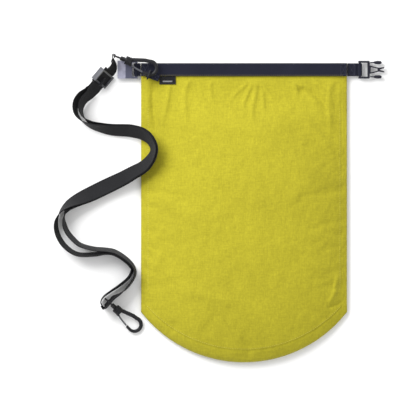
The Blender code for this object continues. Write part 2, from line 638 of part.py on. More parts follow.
def add_webbing(name, stations, finish="black_webbing"):
    """Flat webbing: a rectangle swept along stations of X, Y, Z and lean."""
    bm = bmesh.new()
    rings = []
    for i, station in enumerate(stations):
        run = stations[min(i + 1, len(stations) - 1)].xyz - stations[max(i - 1, 0)].xyz
        run.normalize()
        width = webbing_axes(run, station[3])[0]
        face = run.cross(width).normalized()
        width = face.cross(run)
        corners = [(1, 1), (-1, 1), (-1, -1), (1, -1)]      # upper, lower, lower, upper
        rings.append([bm.verts.new(station.xyz + a * STRAP_WIDTH / 2 * width
                                   + b * WEBBING / 2 * face) for a, b in corners])
    # both broad faces are split along the same diagonal, so that twisted webbing keeps its thickness
    for ring, after in zip(rings, rings[1:]):
        for k in range(4):
            a, b, c, d = ring[k], ring[k - 3], after[k - 3], after[k]
            for face in (((a, b, d), (b, c, d)) if k == 2 else ((a, b, c), (a, c, d))):
                bm.faces.new(face)
    bm.faces.new(reversed(rings[0]))
    bm.faces.new(rings[-1])
    if bm.calc_volume(signed=True) < 0:
        bmesh.ops.reverse_faces(bm, faces=bm.faces)
    mesh = bpy.data.meshes.new(name)
    bm.to_mesh(mesh)
    bm.free()
    mesh.shade_smooth()
    mesh.set_sharp_from_angle(angle=math.radians(40))
    return add_object(name, mesh, finish)


def slider_station(along, lift=0.0):
    """A station on the straight stretch through the slider."""
    place = SLIDER @ Vector((0, along, lift))
    return (*place, SLIDER_LEAN)


# through the top hook's eye: a sewn loop round the bar, then the head down to the slider
eye_bar = TOP_HOOK @ Vector((EYE_BAR_X, 0, 0))
loop_run = (SLIDER @ Vector((0, -0.0170, 0)) - eye_bar) * Vector((1, 1, 0))
loop_run.normalize()
eye_loop = frame_matrix(eye_bar, loop_run, UP)
webbing_loop("strap_end_loop", eye_loop, EYE_ROD + 0.0001, 0.0060, -TAB_HALF_THICK, TAB_HALF_THICK,
             STRAP_WIDTH, "black_webbing")
head_start = eye_bar + loop_run * (0.0060 + 3 * GAP)
head = [(*head_start, 0.0), (*(head_start + loop_run * 0.0040), math.radians(-2)),
        slider_station(-0.0170), slider_station(-0.0120), slider_station(0.0),
        slider_station(0.0120), slider_station(0.0170)]
add_webbing("strap_head", smooth_route(head, STRAP_HEAD_STEP))

outward = [slider_station(0.0174), slider_station(0.0225)]
outward += layer_stations(1) + end_stations(OUTWARD_END)
returning = [slider_station(0.0204, -0.0023), slider_station(0.0250, -0.0025)]
returning += layer_stations(-1) + end_stations(RETURN_START)
eye_middle = BOTTOM_HOOK @ Vector((-0.0185, 0, 0))
through = (BOTTOM_HOOK.to_3x3() @ Vector((0, -1, 0))).normalized()
eye_lean = math.radians(BOTTOM_HOOK_DIP)
for line, ends, lean in ((outward, (-0.0100, -0.0010), eye_lean),
                         (returning, (0.0100, 0.0), -eye_lean)):
    for shift in ends:
        line.append((*(eye_middle + through * shift), lean))
add_webbing("strap_outward_layer", smooth_route(outward, STRAP_STEP))
add_webbing("strap_return_layer", smooth_route(returning, STRAP_STEP))
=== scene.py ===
"""A yellow roll-top dry bag with a black shoulder strap, lying on its back on a pale floor."""
import math

import bmesh
import bpy
import numpy as np
from mathutils import Matrix, Vector, noise
from mathutils.bvhtree import BVHTree


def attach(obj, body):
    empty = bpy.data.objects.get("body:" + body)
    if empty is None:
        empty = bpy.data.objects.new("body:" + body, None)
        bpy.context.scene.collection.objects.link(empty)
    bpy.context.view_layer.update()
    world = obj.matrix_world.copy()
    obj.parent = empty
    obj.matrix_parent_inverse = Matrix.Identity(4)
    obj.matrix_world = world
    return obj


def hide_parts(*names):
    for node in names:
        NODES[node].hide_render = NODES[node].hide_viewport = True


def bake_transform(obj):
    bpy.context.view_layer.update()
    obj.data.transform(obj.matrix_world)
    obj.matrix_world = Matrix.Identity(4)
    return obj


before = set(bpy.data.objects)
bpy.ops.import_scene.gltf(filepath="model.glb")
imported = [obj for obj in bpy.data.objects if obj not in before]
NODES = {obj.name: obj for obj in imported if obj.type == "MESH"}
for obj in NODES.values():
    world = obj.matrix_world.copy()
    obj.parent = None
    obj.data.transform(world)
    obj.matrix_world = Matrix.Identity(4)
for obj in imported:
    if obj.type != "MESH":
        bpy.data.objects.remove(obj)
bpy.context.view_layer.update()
UP = Vector((0, 0, 1))

# ---- camera: straight above, without perspective ------------------------------------------------
VIEW_WIDTH = 0.640
CAMERA_PLACE = (-0.0518, 0.0042, 1.5)

camera = bpy.data.cameras.new("camera")
camera.type = "ORTHO"
camera.ortho_scale = VIEW_WIDTH
camera_object = bpy.data.objects.new("camera", camera)
camera_object.location = CAMERA_PLACE
bpy.context.scene.collection.objects.link(camera_object)
bpy.context.scene.camera = camera_object
bpy.context.scene.view_settings.view_transform = "Standard"


# ---- shader helpers ----------------------------------------------------------------------------
class Shader:
    """A Principled material with short calls for the nodes that feed it."""

    def __init__(self, name, colour=(0.5, 0.5, 0.5), roughness=0.8):
        self.material = bpy.data.materials.new(name)
        self.material.use_nodes = True
        self.tree = self.material.node_tree
        self.out = self.tree.nodes["Principled BSDF"]
        self.out.inputs["Base Color"].default_value = (*colour, 1)
        self.out.inputs["Roughness"].default_value = roughness

    def node(self, kind, **sockets):
        """A new node, with values or links for its sockets; From_Min stands for From Min."""
        node = self.tree.nodes.new(kind)
        for name, value in sockets.items():
            self.feed(node, name.replace("_", " "), value)
        return node

    def feed(self, node, socket, value):
        """Link value to a node's socket, or set the socket to it."""
        socket = node.inputs[socket]
        if isinstance(value, bpy.types.NodeSocket):
            self.tree.links.new(value, socket)
        else:
            socket.default_value = value

    def uv(self, scale=(1, 1, 1)):
        """The UV place in metres, so that a pattern follows the cloth when it moves."""
        coordinates = self.node("ShaderNodeUVMap")
        mapping = self.node("ShaderNodeMapping", Vector=coordinates.outputs[0], Scale=scale)
        return mapping.outputs[0]

    def place(self, scale=(1, 1, 1)):
        """The object place in metres."""
        coordinates = self.node("ShaderNodeTexCoord")
        mapping = self.node("ShaderNodeMapping", Vector=coordinates.outputs["Object"],
                            Scale=scale)
        return mapping.outputs[0]

    def noise(self, vector, scale, detail=3.0, roughness=0.6):
        node = self.node("ShaderNodeTexNoise", Vector=vector, Scale=scale, Detail=detail,
                         Roughness=roughness)
        return node.outputs[0]

    def wave(self, vector, direction, scale, distortion=0.0):
        node = self.node("ShaderNodeTexWave", Vector=vector, Scale=scale, Distortion=distortion)
        node.bands_direction = direction
        return node.outputs["Fac"]

    def math(self, operation, a, b=0.0):
        node = self.tree.nodes.new("ShaderNodeMath")
        node.operation = operation
        self.feed(node, 0, a)
        self.feed(node, 1, b)
        return node.outputs[0]

    def mix(self, factor, a, b):
        node = self.tree.nodes.new("ShaderNodeMix")
        node.data_type = "RGBA"
        self.feed(node, 0, factor)
        for socket, value in ((6, a), (7, b)):
            self.feed(node, socket, value if isinstance(value, bpy.types.NodeSocket)
                      else (*value, 1))
        return node.outputs[2]

    def ramp(self, factor, low, high):
        """0 at low, 1 at high."""
        node = self.node("ShaderNodeMapRange", Value=factor, From_Min=low, From_Max=high)
        return node.outputs[0]

    def finish(self, colour=None, height=None, distance=0.0002, strength=1.0):
        """Feed the colour and a bump of that height and strength, and give the material."""
        if colour is not None:
            self.feed(self.out, "Base Color", colour)
        if height is not None:
            bump = self.node("ShaderNodeBump", Height=height, Distance=distance,
                             Strength=strength)
            self.feed(self.out, "Normal", bump.outputs[0])
        return self.material


def woven_cloth(name, light, dark, coating=False):
    """Heathered plain weave: light and dark yarns mixed along both directions, with large patches
    of painted shade.
    """
    s = Shader(name, light, 0.85)
    s.out.inputs["Sheen Weight"].default_value = 0.0 if coating else 0.06
    s.out.inputs["Roughness"].default_value = 0.45 if coating else 0.85
    s.out.inputs["Specular IOR Level"].default_value = 0.5 if coating else 0.2
    warp = s.noise(s.uv((900, 60, 1)), 1.0, 2.0)
    weft = s.noise(s.uv((60, 900, 1)), 1.0, 2.0)
    # large lighter and darker patches at random places: painted shade across the cloth
    shade_patch = s.noise(s.uv((14, 14, 1)), 1.0, 4.0)
    yarn = s.ramp(s.math("ADD", warp, weft), 0.80, 1.25)
    speck = s.ramp(s.noise(s.uv((330, 250, 1)), 1.0, 3.0, 0.75), 0.36, 0.64)
    yarn = s.math("ADD", s.math("MULTIPLY", yarn, 0.45), s.math("MULTIPLY", speck, 0.38))
    yarn = s.math("ADD", yarn, s.math("MULTIPLY", s.ramp(shade_patch, 0.3, 0.7), 0.22))
    weave = s.math("ADD", s.wave(s.uv(), "X", 280), s.wave(s.uv(), "Y", 280))
    height = s.math("ADD", s.math("MULTIPLY", weave, 0.4), yarn)
    return s.finish(s.mix(yarn, dark, light), height, 0.00025, 0.25 if coating else 0.55)


RIB_PITCH, FINE_RIB_PITCH = 0.0016, 0.0006


def ribbed_webbing(name, colour, lit, pitch=RIB_PITCH):
    """Webbing with ribs across it (UV x runs along it, in metres) and a twill inside them; lit is a
    painted lighter copy of the colour.
    """
    s = Shader(name, colour, 0.78)
    s.out.inputs["Sheen Weight"].default_value = 0.04
    s.out.inputs["Specular IOR Level"].default_value = 0.15
    rib = s.wave(s.uv(), "X", 1 / pitch / 3.1416, 0.4)
    twill = s.wave(s.uv((1, 1.6, 1)), "DIAGONAL", 300)
    speck = s.noise(s.uv((400, 400, 1)), 1.0, 2.0)
    lit_patch = s.noise(s.uv((25, 25, 1)), 1.0, 4.0)
    # the rib crests mix towards lit as painted highlight, and specks and large patches at random
    # places as painted light
    tone = s.math("ADD", s.math("MULTIPLY", rib, 0.45), s.math("MULTIPLY", speck, 0.35))
    tone = s.math("ADD", tone, s.math("MULTIPLY", s.ramp(lit_patch, 0.35, 0.75), 0.3))
    height = s.math("ADD", rib, s.math("MULTIPLY", twill, 0.35))
    return s.finish(s.mix(tone, colour, lit), height, 0.0004, 0.9)


GRAIN_SCALE, GRAIN_DEPTH, GRAIN_STRENGTH = 1800, 0.00008, 0.35


def moulded_plastic(name, colour, roughness=0.42, gloss=0.5):
    """Fine spark-eroded texture, with scuffs."""
    s = Shader(name, colour, roughness)
    grain = s.noise(s.place(), GRAIN_SCALE, 2.0)
    scuff = s.ramp(s.noise(s.place((60, 240, 60)), 1.0, 5.0, 0.7), 0.55, 0.75)
    worn = tuple(min(1.0, c * 1.7 + 0.01) for c in colour)
    s.feed(s.out, "Roughness", s.math("ADD", s.math("MULTIPLY", scuff, 0.18), roughness))
    s.out.inputs["Specular IOR Level"].default_value = gloss
    return s.finish(s.mix(s.math("MULTIPLY", scuff, 0.5), colour, worn), grain, GRAIN_DEPTH,
                    GRAIN_STRENGTH)


def painted_highlight_plastic(name, dark, light, x_from, x_to):
    """Moulded plastic that is dark at x_from and light at x_to, in metres along X; the light end is
    a painted highlight that stands in for a reflection.
    """
    s = Shader(name, dark, 0.36)
    x = s.node("ShaderNodeSeparateXYZ", Vector=s.place()).outputs[0]
    grain = s.noise(s.place(), GRAIN_SCALE, 2.0)
    cloud = s.math("MULTIPLY", s.ramp(s.noise(s.place(), 160, 3.0), 0.35, 0.7), 0.3)
    tone = s.math("SUBTRACT", s.ramp(x, x_from, x_to), cloud)
    return s.finish(s.mix(tone, dark, light), grain, GRAIN_DEPTH, GRAIN_STRENGTH)


def plain_thread(name, colour):
    """Twisted sewing thread."""
    s = Shader(name, colour, 0.7)
    ply = s.noise(s.place(), 2500, 1.0)
    return s.finish(None, ply, 0.0001, 0.5)


CLOTH = woven_cloth("cloth", (0.44, 0.395, 0.020), (0.29, 0.255, 0.012))
CLOTH_INSIDE = woven_cloth("cloth_coating", (0.50, 0.46, 0.10), (0.42, 0.38, 0.08), coating=True)
# each webbing's second colour is its painted lit copy
NAVY = ribbed_webbing("navy_webbing", (0.004, 0.005, 0.012), (0.017, 0.018, 0.034))
BLACK = ribbed_webbing("black_webbing", (0.004, 0.004, 0.005), (0.018, 0.018, 0.020))
LABEL = ribbed_webbing("label_cloth", (0.010, 0.010, 0.011), (0.022, 0.022, 0.024),
                       FINE_RIB_PITCH)
LABEL_MARK = ribbed_webbing("label_mark", (0.20, 0.20, 0.21), (0.30, 0.30, 0.31),
                            FINE_RIB_PITCH)
THREAD_NAVY = plain_thread("thread_navy", (0.050, 0.052, 0.075))
THREAD_YELLOW = plain_thread("thread_yellow", (0.60, 0.54, 0.08))
THREAD_OLIVE = plain_thread("thread_olive", (0.20, 0.17, 0.05))
BLACK_PLASTIC = moulded_plastic("black_plastic", (0.008, 0.008, 0.010), gloss=0.25)
MALE_PLASTIC = moulded_plastic("male_plastic", (0.008, 0.008, 0.016), gloss=0.25)
# the light open end of the female buckle is a painted highlight
FEMALE_PLASTIC = painted_highlight_plastic("female_plastic", (0.060, 0.062, 0.105), (0.34, 0.34, 0.44),
                          -0.1798, -0.1812)
GREY_PLASTIC = moulded_plastic("grey_plastic", (0.060, 0.062, 0.072), 0.40)


def add_mesh(name, verts, faces, material, uvs=None, smooth=True):
    """A mesh object from lists; uvs holds one pair for every vertex, in metres."""
    mesh = bpy.data.meshes.new(name)
    mesh.from_pydata(verts, [], faces)
    if uvs is not None:
        layer = mesh.uv_layers.new(name="UVMap")
        for loop in mesh.loops:
            layer.data[loop.index].uv = uvs[loop.vertex_index]
    mesh.polygons.foreach_set("use_smooth", [smooth] * len(mesh.polygons))
    mesh.materials.append(material)
    obj = bpy.data.objects.new(name, mesh)
    bpy.context.scene.collection.objects.link(obj)
    return obj


def outward(obj):
    """Turn a closed mesh's faces outwards."""
    bm = bmesh.new()
    bm.from_mesh(obj.data)
    bmesh.ops.recalc_face_normals(bm, faces=bm.faces)
    bm.to_mesh(obj.data)
    bm.free()
    return obj


def evaluated_mesh(obj):
    """A new mesh with the object's modifiers or curve settings applied."""
    return bpy.data.meshes.new_from_object(
        obj.evaluated_get(bpy.context.evaluated_depsgraph_get()))


def frame_matrix(origin, x_axis, z_axis):
    """The frame at origin with that X axis, and a Y axis square to it and to z_axis."""
    x_axis = Vector(x_axis).normalized()
    y_axis = Vector(z_axis).cross(x_axis).normalized()
    turn = Matrix((x_axis, y_axis, x_axis.cross(y_axis))).transposed().to_4x4()
    return Matrix.Translation(Vector(origin)) @ turn


def arc(centre, radius, start_deg, end_deg, steps):
    """Points (x, y) along an arc."""
    points = []
    for i in range(steps + 1):
        angle = math.radians(start_deg + (end_deg - start_deg) * i / steps)
        points.append((centre[0] + radius * math.cos(angle), centre[1] + radius * math.sin(angle)))
    return points


# ---- the shoulder strap -------------------------------------------------------------------------
WEBBING, STRAP_WIDTH = 0.0014, 0.025                # thickness and width
FLOOR_GAP = 0.0004
ROUTE_STEP = 0.0016
# middle line of both layers: X, Y, height of the lower edge, distance between the layers (all in
# mm), and lean from upright in degrees
STRAP_ROUTE = [
    (-236.5, 182.0, 0.6, 6.0, -33), (-246.2, 175.3, 0.3, 9.0, -27),
    (-251.8, 165.4, 0.3, 10.0, -22),
    (-251.8, 153.2, 0.3, 9.0, -13), (-244.6, 142.0, 0.3, 6.0, 0),
    (-232.7, 134.3, 0.3, 4.5, 14), (-215.3, 129.3, 0.3, 3.2, 28),
    (-199.0, 126.4, 0.3, 3.0, 36), (-179.5, 125.5, 3.0, 3.0, 40),
    (-166.6, 123.8, 7.0, 3.0, 40), (-154.4, 120.2, 11.0, 3.0, 36),
    (-144.0, 113.0, 15.0, 3.0, 27), (-137.3, 101.0, 17.5, 3.0, 20),
    (-138.1, 89.5, 18.0, 3.0, 21), (-144.3, 78.6, 15.0, 3.0, 30),
    (-153.9, 69.3, 10.5, 3.0, 38), (-169.2, 60.6, 5.5, 3.0, 46),
    (-186.1, 51.3, 1.5, 3.0, 54), (-208.0, 40.8, 0.3, 3.0, 60),
    (-231.6, 29.3, 0.3, 3.0, 58), (-253.7, 19.0, 0.3, 3.0, 42),
    (-268.5, 9.5, 0.3, 5.0, 22), (-276.5, -0.4, 0.3, 8.0, 4),
    (-280.0, -15.6, 0.3, 13.0, -12), (-276.6, -31.3, 0.3, 15.5, -16),
    (-266.0, -46.1, 0.3, 17.0, -16), (-251.2, -56.2, 0.3, 15.0, -14),
    (-229.4, -59.2, 0.3, 9.0, -14), (-211.1, -58.6, 0.3, 4.5, -14),
    (-196.6, -61.0, 0.3, 3.2, -14), (-180.1, -71.4, 0.3, 3.2, -12),
    (-170.1, -82.3, 0.3, 3.4, -9),
]
# the layers part at the bottom eye: X, Y, height of the lower edge, lean
OUTWARD_END = [(-165.5, -91.2, 0.3, -6), (-169.2, -102.3, 0.3, -5), (-178.6, -114.7, 0.8, -4),
               (-188.6, -123.0, 2.4, 4)]
RETURN_START = [(-170.7, -88.8, 0.3, -8), (-176.0, -99.1, 0.3, -8), (-188.7, -110.1, 0.3, -7),
                (-202.7, -119.6, 0.8, -5), (-213.5, -127.6, 1.2, -3), (-218.2, -136.0, 2.0, 0),
                (-215.0, -143.2, 3.0, 0)]


def webbing_axes(run, lean):
    """The axes across the webbing's width and out of its face, when it leans from upright."""
    left = UP.cross(run).normalized()
    return (math.cos(lean) * UP + math.sin(lean) * left,
            math.cos(lean) * left - math.sin(lean) * UP)


def hook_frame(origin, heading, dip):
    """A snap hook's frame: X from its eye to its bow, heading and dip in degrees."""
    heading, dip = math.radians(heading), math.radians(dip)
    axis = (math.cos(heading) * math.cos(dip), math.sin(heading) * math.cos(dip), -math.sin(dip))
    return frame_matrix(origin, axis, UP)


TOP_HOOK = hook_frame((-0.1758, 0.2312, 0.0228), -20.0, 0.0)
BOTTOM_HOOK = hook_frame((-0.1920, -0.1487, 0.0131), -42.7, 12.0)
SLIDER_LEAN, SLIDER_HEADING = math.radians(-42), math.radians(-130)
slider_run = Vector((math.cos(SLIDER_HEADING), math.sin(SLIDER_HEADING), 0))
slider_width, slider_face = webbing_axes(slider_run, SLIDER_LEAN)
SLIDER = frame_matrix((-0.2142, 0.2050, 0.0155), slider_width, slider_face)


def resting_height(rest, lean):
    """Height of the middle line where the lower edge is rest above the floor."""
    return (rest + STRAP_WIDTH / 2 * math.cos(lean) + WEBBING / 2 * abs(math.sin(lean))
            + FLOOR_GAP)


def layer_stations(side):
    """Stations (X, Y, Z, lean) of the outward layer, side 1, or the return layer, side -1."""
    places = [Vector(s[:2]) / 1000 for s in STRAP_ROUTE]
    stations = []
    for i, (x, y, rest, apart, lean) in enumerate(STRAP_ROUTE):
        run = (places[min(i + 1, len(places) - 1)] - places[max(i - 1, 0)]).normalized()
        lean = math.radians(lean)
        face = webbing_axes(Vector((*run, 0)), lean)[1]
        shift = side * apart / 2000 * face
        z = resting_height(rest / 1000, lean) + apart / 2000 * abs(face.z) + shift.z
        stations.append((x / 1000 + shift.x, y / 1000 + shift.y, z, lean))
    return stations


def end_stations(points):
    """Stations from the points of one layer's end."""
    return [(x / 1000, y / 1000, resting_height(rest / 1000, math.radians(lean)),
             math.radians(lean)) for x, y, rest, lean in points]


def slider_station(along, lift=0.0):
    """A station in the slider: along the strap, and lift out of the slider's face."""
    return (*(SLIDER @ Vector((0, along, lift))), SLIDER_LEAN)


CURVE_STEPS = 20


def smooth_route(stations, step):
    """Stations at about every step along a smooth curve through the given ones."""
    stations = [Vector(s) for s in stations]
    padded = [2 * stations[0] - stations[1]] + stations + [2 * stations[-1] - stations[-2]]
    fine = []
    for i in range(len(stations) - 1):
        a, b, c, d = padded[i:i + 4]
        for k in range(CURVE_STEPS):
            t = k / CURVE_STEPS
            fine.append(0.5 * (2 * b + (c - a) * t + (2 * a - 5 * b + 4 * c - d) * t ** 2
                               + (3 * b - a - 3 * c + d) * t ** 3))
    fine.append(stations[-1])
    lengths = [0.0]
    for a, b in zip(fine, fine[1:]):
        lengths.append(lengths[-1] + (b.xyz - a.xyz).length)
    count = max(2, round(lengths[-1] / step))
    route, j = [], 0
    for k in range(count + 1):
        along = lengths[-1] * k / count
        while j < len(fine) - 2 and lengths[j + 1] < along:
            j += 1
        part = (along - lengths[j]) / max(lengths[j + 1] - lengths[j], 1e-9)
        route.append(fine[j].lerp(fine[j + 1], min(part, 1.0)))
    return route


# half cross-section of webbing: distance from its middle line as a part of its half width, and
# half thickness as a part of the nominal one
PROFILE = [(-1.0, 0.35), (-0.985, 0.80), (-0.95, 1.05), (-0.88, 1.0), (-0.5, 0.94), (0.0, 1.0),
           (0.5, 0.94), (0.88, 1.0), (0.95, 1.05), (0.985, 0.80), (1.0, 0.35)]


def ribbon(name, stations, width, material, thickness=WEBBING, widths=None):
    """Webbing swept along stations (X, Y, Z, lean); widths gives width axes in place of leans."""
    verts, uvs, faces = [], [], []
    along = 0.0
    ring = PROFILE + [(a, -b) for a, b in reversed(PROFILE)]
    for i, station in enumerate(stations):
        here = Vector(station[:3])
        ahead, behind = stations[min(i + 1, len(stations) - 1)], stations[max(i - 1, 0)]
        run = (Vector(ahead[:3]) - Vector(behind[:3])).normalized()
        axis = widths[i] if widths else webbing_axes(run, station[3])[0]
        face = run.cross(axis).normalized()
        axis = face.cross(run)
        if i:
            along += (here - Vector(behind[:3])).length
        for a, b in ring:
            verts.append(here + a * width / 2 * axis + b * thickness / 2 * face)
            uvs.append((along, a * width / 2))
    n = len(ring)
    for i in range(len(stations) - 1):
        for k in range(n):
            a, b = i * n + k, i * n + (k + 1) % n
            faces.append((a, b, b + n, a + n))
    faces.append(tuple(range(n - 1, -1, -1)))
    faces.append(tuple((len(stations) - 1) * n + k for k in range(n)))
    return outward(add_mesh(name, verts, faces, material, uvs))


EYE_NEAR_X, EYE_FAR_X = -0.0125, -0.0240            # a hook's eye, in the hook's frame
BAR_RADIUS, BAR_GAP = 0.0015, 0.0003
SLIDER_ENTRY = -0.0170
eye_bar = TOP_HOOK @ Vector((EYE_FAR_X, 0, 0))
loop_run = (SLIDER @ Vector((0, SLIDER_ENTRY, 0)) - eye_bar) * Vector((1, 1, 0))
loop_run.normalize()
EYE_LOOP = frame_matrix(eye_bar, loop_run, UP)
LOOP_RADIUS = BAR_RADIUS + BAR_GAP + WEBBING / 2


def eye_point(x, y):
    """A station at (x, y) in the plane across the top eye's bar, the strap on its edge."""
    return (*(EYE_LOOP @ Vector((x, y, 0))), 0.0)


# the outward layer: sewn round the top eye's bar, through the slider, down to the bottom eye
outward_line = [eye_point(0.0110, -0.0016), eye_point(0.0060, -0.0013)]
outward_line += [eye_point(x, y) for x, y in arc((0, 0), LOOP_RADIUS, -35, -325, 12)]
outward_line += [eye_point(0.0055, 0.0004), eye_point(0.0095, 0.0001)]
outward_line += [slider_station(a)
                 for a in (SLIDER_ENTRY, -0.0120, 0.0, 0.0120, 0.0174, 0.0225)]
outward_line += layer_stations(1) + end_stations(OUTWARD_END)

# the return layer: sewn round the slider's middle bar, down beside the other to the bottom eye
WRAP_RADIUS, WRAP_LIFT = 0.0025, -0.0044
return_line = [slider_station(0.0130, -0.0047), slider_station(0.0070, -0.0050)]
return_line += [slider_station(*place)
                for place in arc((0, WRAP_LIFT), WRAP_RADIUS, -50, -280, 8)]
return_line += [slider_station(a, z) for a, z in ((0.0060, -0.0026), (0.0120, -0.0024),
                                                  (0.0204, -0.0023), (0.0250, -0.0025))]
return_line += layer_stations(-1) + end_stations(RETURN_START)

# both layers end in the bottom eye, side by side across its bar
eye_middle = BOTTOM_HOOK @ Vector((-0.0185, 0, 0))
through = (BOTTOM_HOOK.to_3x3() @ Vector((0, -1, 0))).normalized()
for line, ends, lean in ((outward_line, (-0.0100, -0.0008), 12.0),
                         (return_line, (0.0100, -0.0002), -12.0)):
    for shift in ends:
        line.append((*(eye_middle + through * shift), math.radians(lean)))

for name, line, replaced, pieces in (
        ("strap_outward", outward_line, ("strap_end_loop", "strap_head", "strap_outward_layer"),
         ("slider", "top_hook_eye", "bottom_hook_eye", "bottom_hook_body", "bottom_hook_gate")),
        ("strap_return", return_line, ("strap_return_layer", "slider_wrap"), ("bottom_hook_eye",))):
    route = smooth_route(line, ROUTE_STEP)
    strap = ribbon(name, route, STRAP_WIDTH, BLACK)
    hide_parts(*replaced)
    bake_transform(strap)

# ---- the bag's cloth -----------------------------------------------------------------------------
HALF_WIDTH, TOP_Y, BOTTOM_Y, BASE_RADIUS = 0.157, 0.228, -0.228, 0.1986
ARC_CENTRE_Y = BOTTOM_Y + BASE_RADIUS
PUFF, EDGE_Z, PANEL_TOP_Y = 0.034, 0.0052, 0.1925
COLLAR_BACK_Z, COLLAR_FRONT_Z = 0.0035, 0.0093
FABRIC = 0.0008
FULL_HEIGHT, CEILING = 0.0385, 0.0415               # of the settled cloth, and of its folds
SEAM_REACH = 0.018                                  # from the lower edge to the base seam
FRONT_ROUNDING, BACK_ROUNDING = 0.11, 0.02          # how far in from the lower edge it rounds off
FILL_FADE = 0.16                                    # how far below the panel's top it is full
BACK_LIFT_FROM, BACK_LIFT_OVER = 0.182, 0.014


def base_edge_y(x):
    """Y of the round lower edge."""
    return ARC_CENTRE_Y - math.sqrt(BASE_RADIUS ** 2 - x ** 2)


def smooth(t):
    """An S-shaped step from 0 to 1."""
    t = min(max(t, 0.0), 1.0)
    return t * t * (3 - 2 * t)


def front_z(x, y):
    """Middle of the cloth on the upper side."""
    u = min(abs(x) / HALF_WIDTH, 1.0)
    crown = (1 - u ** 2.4) ** 0.6
    flat = math.sqrt(1 - u ** 14)
    rise = math.sqrt(1 - (1 - min(max(y - base_edge_y(x), 0) / FRONT_ROUNDING, 1.0)) ** 2)
    fill = smooth((PANEL_TOP_Y - y) / FILL_FADE)
    return EDGE_Z + (COLLAR_FRONT_Z - EDGE_Z) * (1 - fill) * flat + PUFF * fill * crown * rise


def back_z(x, y):
    """Middle of the cloth on the side that lies down."""
    u = min(abs(x) / HALF_WIDTH, 1.0)
    flat = math.sqrt(1 - u ** 14)
    rise = math.sqrt(1 - (1 - min(max(y - base_edge_y(x), 0) / BACK_ROUNDING, 1.0)) ** 2)
    lift = smooth((y - BACK_LIFT_FROM) / BACK_LIFT_OVER)
    low = FABRIC / 2 + (COLLAR_BACK_Z - FABRIC / 2) * lift
    return low + (EDGE_Z - low) * (1 - flat * rise)


CROWDING = math.pi / 2 * 0.86                       # how much the columns crowd to the edges


def cloth_grid(name, columns, rows, height):
    """One side of the bag as a grid from the round lower edge up to the mouth."""
    verts, uvs, faces = [], [], []
    for j in range(rows + 1):
        for i in range(columns + 1):
            x = math.sin((2 * i / columns - 1) * CROWDING) / math.sin(CROWDING)
            x *= HALF_WIDTH - FABRIC / 2
            low = base_edge_y(x) + FABRIC / 2
            y = low + (TOP_Y - 0.0006 - low) * j / rows
            verts.append((x, y, height(x, y)))
            uvs.append((x, y))
    for j in range(rows):
        for i in range(columns):
            a = j * (columns + 1) + i
            faces.append((a, a + 1, a + columns + 2, a + columns + 1))
    return add_mesh(name, verts, faces, CLOTH, uvs)


FRAMES = 26
HELD_FROM_Y = 0.2060                                # the cloth above it is sewn to the band
AIR_ENDS_Y, AIR_FADE = 0.196, 0.075


def drape(obj, columns, rows):
    """Let the upper side settle: slightly too much cloth, held up by the air inside."""
    group = obj.vertex_groups.new(name="held")
    for vert in obj.data.vertices:
        i, j = vert.index % (columns + 1), vert.index // (columns + 1)
        edge = min(i, columns - i, j)
        if edge == 0 or vert.co.y > HELD_FROM_Y:
            group.add([vert.index], 1.0, "REPLACE")
    cloth = obj.modifiers.new("cloth", "CLOTH")
    settings = cloth.settings
    settings.quality = 6
    settings.mass = 0.01                            # for each vertex
    settings.air_damping = 4.0
    settings.tension_stiffness = 30
    settings.compression_stiffness = 30
    settings.shear_stiffness = 12
    settings.bending_stiffness = 0.6
    settings.vertex_group_mass = "held"
    settings.shrink_min = -0.010                    # the cloth is 1% larger than its frame
    settings.use_pressure = True
    settings.uniform_pressure_force = 8
    settings.effector_weights.gravity = 0.02
    cloth.collision_settings.use_collision = False
    cloth.collision_settings.use_self_collision = False
    cloth.point_cache.frame_start, cloth.point_cache.frame_end = 1, FRAMES
    scene = bpy.context.scene
    for number in range(1, FRAMES + 1):
        scene.frame_set(number)
    shown = obj.evaluated_get(bpy.context.evaluated_depsgraph_get())
    settled = np.array([v.co for v in shown.data.vertices])
    obj.modifiers.clear()
    scene.frame_set(1)
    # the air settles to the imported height, and the cloth stays flat towards the sewn band
    scale = (FULL_HEIGHT - EDGE_Z) / (settled[:, 2].max() - EDGE_Z)
    for row in settled:
        part = smooth((AIR_ENDS_Y - row[1]) / AIR_FADE)
        row[2] = (1 - part) * front_z(row[0], row[1]) + part * (EDGE_Z + (row[2] - EDGE_Z) * scale)
    obj.data.vertices.foreach_set("co", settled.ravel())
    obj.data.update()


# folds that the air inside and the sewn band leave: X, Y at both ends, width, height, all in mm
CREASES = [
    (8, 200, 2, 160, 3.0, 1.6), (14, 200, 16, 150, 3.5, 1.9), (20, 200, 34, 156, 3.0, 1.5),
    (2, 200, -18, 168, 2.6, 1.1), (28, 200, 50, 172, 2.6, 1.0), (88, 187, 128, 158, 5.0, -2.4),
    (84, 192, 126, 165, 4.0, 1.6), (70, 200, 84, 178, 3.0, 1.2), (-46, 200, -52, 172, 3.0, 1.0),
    (-84, 196, -92, 150, 4.0, 1.4), (-134, 192, -137, 122, 5.5, -2.4),
    (-118, 196, -122, 128, 4.0, 1.5), (112, 200, 120, 180, 2.5, 1.1),
    (136, 196, 128, 130, 5.0, 1.5), (-60, 150, 20, 120, 9.0, 1.0), (40, 96, 120, 60, 10.0, 1.1),
    (-120, 20, -60, -30, 10.0, 1.0), (60, -40, 120, -90, 9.0, 0.9),
    (-90, -110, -20, -140, 8.0, 0.9), (130, -130, 146, -100, 4.0, 1.8),
    (134, -146, 150, -130, 3.0, -1.5), (-130, -60, -142, -110, 5.0, 1.1),
    (-20, 60, 30, 0, 12.0, 0.9), (-100, 80, -60, 40, 9.0, 0.8), (90, 140, 140, 100, 6.0, 1.2),
]
CREASE_GAIN, CREASE_SWAY = 1.5, 0.004
RUN_OUT = 0.3                                       # past a fold's ends, as a part of its length
# grooves and ridges beside a seam: distance from it, half width and height, in mm
BASE_SEAM_RELIEF = ((0.0, 1.3, -0.9), (3.0, 1.6, 0.5))
SIDE_SEAM_RELIEF = ((0.0, 1.1, -0.5),)
SIDE_SEAM_X = 0.1485
